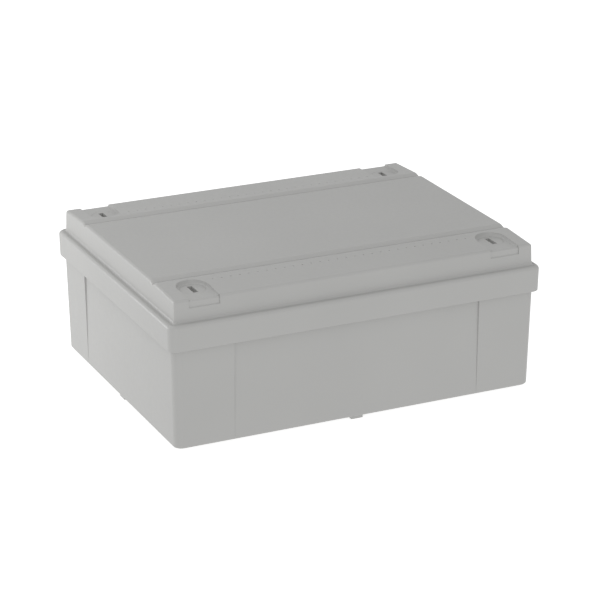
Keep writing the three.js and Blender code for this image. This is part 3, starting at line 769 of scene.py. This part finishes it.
def moulded_plastic(name, color, roughness):
    """Satin plastic from a spark-eroded mould: a fine even grain, with slow drifts in tone and gloss."""
    material, shader = shader_of(name, color, roughness)
    tone = noise(material, PLASTIC_TONE_SCALE, 2.0)
    vary(material, shader, tone, "Base Color", shade(color, 0.985), shade(color, 1.015))
    gloss = noise(material, PLASTIC_GLOSS_SCALE)
    vary(material, shader, gloss, "Roughness", roughness - 0.04, roughness + 0.05)
    grain(material, shader, noise(material, PLASTIC_GRAIN_SCALE, 2.0), PLASTIC_GRAIN)
    shader.inputs["Specular IOR Level"].default_value = PLASTIC_SPECULAR
    return material


def soft_rubber(name, color):
    """Dull black rubber, mottled and finely rough."""
    material, shader = shader_of(name, color, 0.8)
    tone = noise(material, RUBBER_TONE_SCALE)
    vary(material, shader, tone, "Base Color", shade(color, 0.8), shade(color, 1.3))
    vary(material, shader, noise(material, RUBBER_GLOSS_SCALE), "Roughness", 0.72, 0.9)
    grain(material, shader, noise(material, RUBBER_GRAIN_SCALE, 4.0), RUBBER_GRAIN)
    return material


def plated_metal(name, color, roughness):
    """Rolled and plated metal: fine lines along X and a mottled finish."""
    material, shader = shader_of(name, color, roughness, 1.0)
    tone = noise(material, METAL_TONE_SCALE)
    vary(material, shader, tone, "Base Color", shade(color, 0.92), shade(color, 1.05))
    lines = noise(material, METAL_LINE_SCALE, 3.0, METAL_LINE_STRETCH)
    vary(material, shader, lines, "Roughness", roughness - 0.08, roughness + 0.12)
    grain(material, shader, lines, METAL_GRAIN)
    return material


def make_materials():
    return {
        "shell_plastic": moulded_plastic("shell_plastic", (0.46, 0.46, 0.45), 0.36),
        "screw_plastic": moulded_plastic("screw_plastic", (0.455, 0.455, 0.445), 0.36),
        "plug_plastic": moulded_plastic("plug_plastic", (0.4, 0.4, 0.39), 0.5),
        "seal_rubber": soft_rubber("seal_rubber", (0.022, 0.022, 0.024)),
        "zinc_steel": plated_metal("zinc_steel", (0.62, 0.63, 0.64), 0.34),
        "clamp_brass": plated_metal("clamp_brass", (0.72, 0.52, 0.24), 0.3),
        "terminal_grey": moulded_plastic("terminal_grey", (0.3, 0.31, 0.31), 0.42),
        "terminal_blue": moulded_plastic("terminal_blue", (0.035, 0.15, 0.4), 0.42),
        "terminal_green": moulded_plastic("terminal_green", (0.05, 0.28, 0.07), 0.42),
        "stop_plastic": moulded_plastic("stop_plastic", (0.13, 0.135, 0.14), 0.48),
    }


def dress_cad_nodes(materials):
    """CAD nodes that keep their shape get softened edges and their slot's material."""
    for part in frame["record"]["subparts"]:
        node = frame["nodes"][part["node"]]
        if node.hide_render:
            continue
        node.data.materials.clear()
        node.data.materials.append(materials[part["material_slot"]])
        weld = node.modifiers.new("weld", "WELD")
        weld.merge_threshold = WELD_DISTANCE * MM
        bevel = node.modifiers.new("edges", "BEVEL")
        bevel.width = SOFT_EDGE * MM
        bevel.segments = 2
        bevel.limit_method = "ANGLE"
        bevel.angle_limit = SOFT_ANGLE


# ---------------------------------------------------------------- stage

# Everything on the stage is in metres.

FLOOR_SIZE = 40.0  # so large that low views don't see past it
FLOOR_GLOW = 0.6  # with the lights' help, it makes the floor pure white
CAMERA_PLACE = (-0.63044, -1.36236, 0.61870)
CAMERA_AZIMUTH = math.radians(-25.11)
CAMERA_ELEVATION = math.radians(20.84)
CAMERA_LENS, CAMERA_SENSOR = 147.86, 36.0
CAMERA_SHIFT_X = -0.0093
CAMERA_CLIP = 0.05
WORLD_BELOW, WORLD_ABOVE = 0.9, 0.67  # the surroundings' brightness below and above the horizon
HORIZON_BLEND = 0.05  # how far above the horizon the second value is reached
LIGHT_AIM = (0, 0, 0.05)
LIGHTS = (  # name, place, size, watts
    ("low_left", (-0.45, 0.27, 0.07), (0.2, 0.1), 0.55),
    ("front", (-0.6, -2.3, 0.35), (1.6, 0.7), 4.5),
    ("front_high", (-0.7, -2.1, 1.1), (0.35, 0.3), 1.5),
    ("near_left", (-0.26, 0.02, 0.42), (0.2, 0.2), 0.18),
)


def make_camera():
    data = bpy.data.cameras.new("camera")
    data.lens = CAMERA_LENS
    data.sensor_width = CAMERA_SENSOR
    data.shift_x = CAMERA_SHIFT_X
    data.clip_start = CAMERA_CLIP
    camera = bpy.data.objects.new("camera", data)
    camera.location = CAMERA_PLACE
    camera.rotation_euler = Euler((math.pi / 2 - CAMERA_ELEVATION, 0, CAMERA_AZIMUTH))
    bpy.context.scene.collection.objects.link(camera)
    bpy.context.scene.camera = camera


def area_light(name, place, size, power):
    """A rectangular light turned towards the box."""
    data = bpy.data.lights.new(name, "AREA")
    data.shape = "RECTANGLE"
    data.size, data.size_y = size
    data.energy = power
    light = bpy.data.objects.new(name, data)
    light.location = place
    light.rotation_euler = (Vector(LIGHT_AIM) - Vector(place)).to_track_quat("-Z", "Y").to_euler()
    bpy.context.scene.collection.objects.link(light)


def make_floor():
    """A white floor that the box doesn't see: the world's lower half lights it from below instead."""
    half = FLOOR_SIZE / 2
    corners = [(-half, -half, 0), (half, -half, 0), (half, half, 0), (-half, half, 0)]
    mesh = bpy.data.meshes.new("floor")
    mesh.from_pydata(corners, [], [(0, 1, 2, 3)])
    floor = bpy.data.objects.new("floor", mesh)
    bpy.context.scene.collection.objects.link(floor)
    material, shader = shader_of("studio_floor", (0.9, 0.9, 0.9), 0.9)
    shader.inputs["Emission Color"].default_value = (1, 1, 1, 1)
    shader.inputs["Emission Strength"].default_value = FLOOR_GLOW
    vary(material, shader, noise(material, 3.0), "Base Color", (0.89, 0.89, 0.89), (0.91, 0.91, 0.91))
    mesh.materials.append(material)
    floor.visible_diffuse = False
    floor.visible_glossy = False


def make_world():
    """Even surroundings that are brighter below the horizon, in place of the light a floor throws up."""
    world = bpy.data.worlds.new("studio")
    world.use_nodes = True
    nodes, links = world.node_tree.nodes, world.node_tree.links
    place = nodes.new("ShaderNodeTexCoord")
    parts = nodes.new("ShaderNodeSeparateXYZ")
    ramp = nodes.new("ShaderNodeValToRGB")
    ramp.color_ramp.elements[1].position = HORIZON_BLEND
    for element, level in zip(ramp.color_ramp.elements, (WORLD_BELOW, WORLD_ABOVE)):
        element.color = (level, level, level, 1)
    links.new(place.outputs["Generated"], parts.inputs["Vector"])
    links.new(parts.outputs["Z"], ramp.inputs["Fac"])
    links.new(ramp.outputs["Color"], nodes["Background"].inputs["Color"])
    bpy.context.scene.world = world


def make_stage():
    make_world()
    make_floor()
    for light in LIGHTS:
        area_light(*light)
    bpy.context.scene.view_settings.view_transform = "Standard"
    make_camera()


# ---------------------------------------------------------------- assembly

materials = make_materials()
make_base(materials["shell_plastic"])
make_lid(materials["shell_plastic"])
for corner, sx, sy in CORNERS:
    make_lid_screw(corner, sx, sy, materials["screw_plastic"])
dress_cad_nodes(materials)
make_stage()
